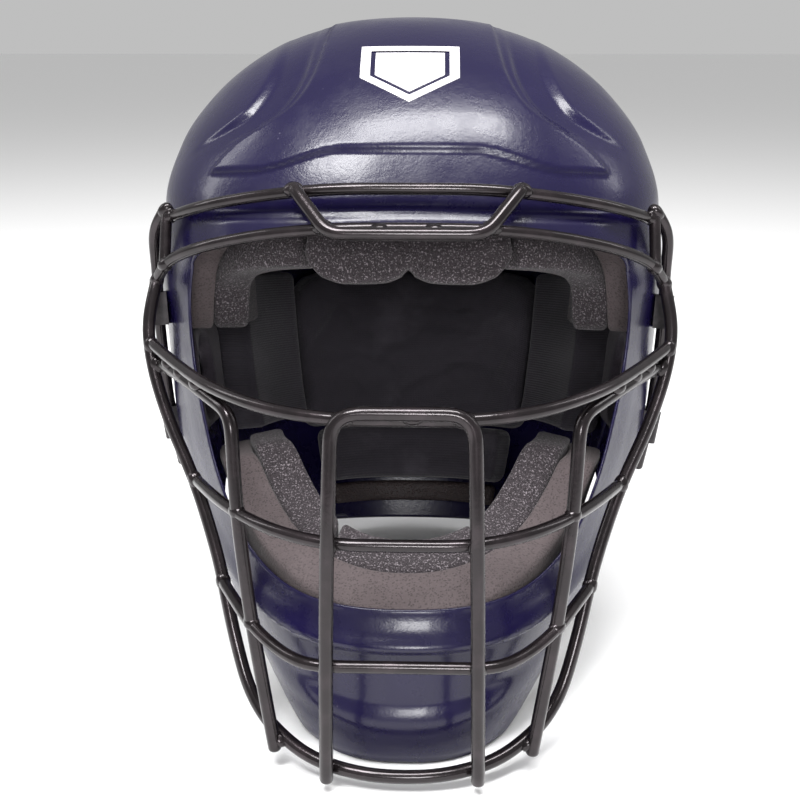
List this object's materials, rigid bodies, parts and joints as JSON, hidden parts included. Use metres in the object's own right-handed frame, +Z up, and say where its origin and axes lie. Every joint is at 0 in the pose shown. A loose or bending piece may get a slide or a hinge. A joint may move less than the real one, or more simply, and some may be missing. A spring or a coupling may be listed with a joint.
{
  "type": "catchers mask",
  "caption": "Hockey-style catcher's helmet: welded wire face cage on a two-piece shell, foam liner, elastic straps, sliding rear plate.",
  "frame": {"origin": "middle of the footprint box on the surface that the mask stands on, cage foot and nape down", "axes": "+Z up as it stands, +Y to the back of the head, face and cage towards -Y, +X across the head"},
  "size_m": [0.243, 0.3194, 0.2982],
  "materials": {
    "shell_plastic": "gloss injection-moulded navy shell",
    "cage_wire": "gloss dark powder coat on steel wire",
    "clip_steel": "satin black coated steel",
    "fixing_steel": "zinc-plated steel",
    "firm_foam": "closed-cell foam, smooth matt",
    "comfort_foam": "open-cell charcoal foam with pale specks",
    "ear_foam": "dark grey foam faced with cloth",
    "pad_cloth": "charcoal knitted cloth over foam",
    "nape_leather": "brown synthetic leather edging",
    "elastic_webbing": "black woven elastic",
    "decal_white": "printed vinyl"
  },
  "bodies": {
    "front": {"front_shell": "shell_plastic", "crest_decal": "decal_white", "upper_brow_bar": "cage_wire", "lower_brow_bar": "cage_wire", "brow_guard_wire": "cage_wire", "outer_loop": "cage_wire", "eye_bar": "cage_wire", "centre_hoop": "cage_wire", "mouth_bar": "cage_wire", "chin_bar": "cage_wire", "side_hoop_left": "cage_wire", "side_hoop_right": "cage_wire", "side_wire_left": "cage_wire", "side_wire_right": "cage_wire", "brow_post_left": "cage_wire", "brow_post_right": "cage_wire", "temple_clip_left": "clip_steel", "temple_clip_right": "clip_steel", "jaw_clip_left": "clip_steel", "jaw_clip_right": "clip_steel", "temple_screw_left": "fixing_steel", "temple_screw_right": "fixing_steel", "jaw_screw_left": "fixing_steel", "jaw_screw_right": "fixing_steel", "temple_tee_nut_left": "fixing_steel", "temple_tee_nut_right": "fixing_steel", "jaw_tee_nut_left": "fixing_steel", "jaw_tee_nut_right": "fixing_steel", "brow_firm_pad": "firm_foam", "crown_pad": "firm_foam", "jaw_firm_pad": "firm_foam", "temple_firm_pad_left": "firm_foam", "temple_firm_pad_right": "firm_foam", "brow_comfort_pad": "comfort_foam", "chin_comfort_pad": "comfort_foam", "temple_comfort_pad_left": "comfort_foam", "temple_comfort_pad_right": "comfort_foam", "cheek_comfort_pad_left": "comfort_foam", "cheek_comfort_pad_right": "comfort_foam", "ear_pad_left": "ear_foam", "ear_pad_right": "ear_foam", "top_front_rivet": "fixing_steel", "side_front_rivet_left": "fixing_steel", "side_front_rivet_right": "fixing_steel", "top_strap": "elastic_webbing", "side_strap_left": "elastic_webbing", "side_strap_right": "elastic_webbing"},
    "rear": {"rear_shell": "shell_plastic", "nape_trim": "nape_leather", "rear_pad": "pad_cloth", "rear_lower_pad": "pad_cloth", "rear_side_pad_left": "pad_cloth", "rear_side_pad_right": "pad_cloth", "top_rear_rivet": "fixing_steel", "side_rear_rivet_left": "fixing_steel", "side_rear_rivet_right": "fixing_steel"}
  },
  "joints": [
    {"name": "rear_plate_slide", "type": "slide", "parent": "front", "child": "rear", "axis": [0, 1, 0], "range_m": [0, 0.02], "stiffness_N_per_m": 600, "springref_m": -0.01, "deforming": ["top_strap", "side_strap_left", "side_strap_right"]}
  ]
}
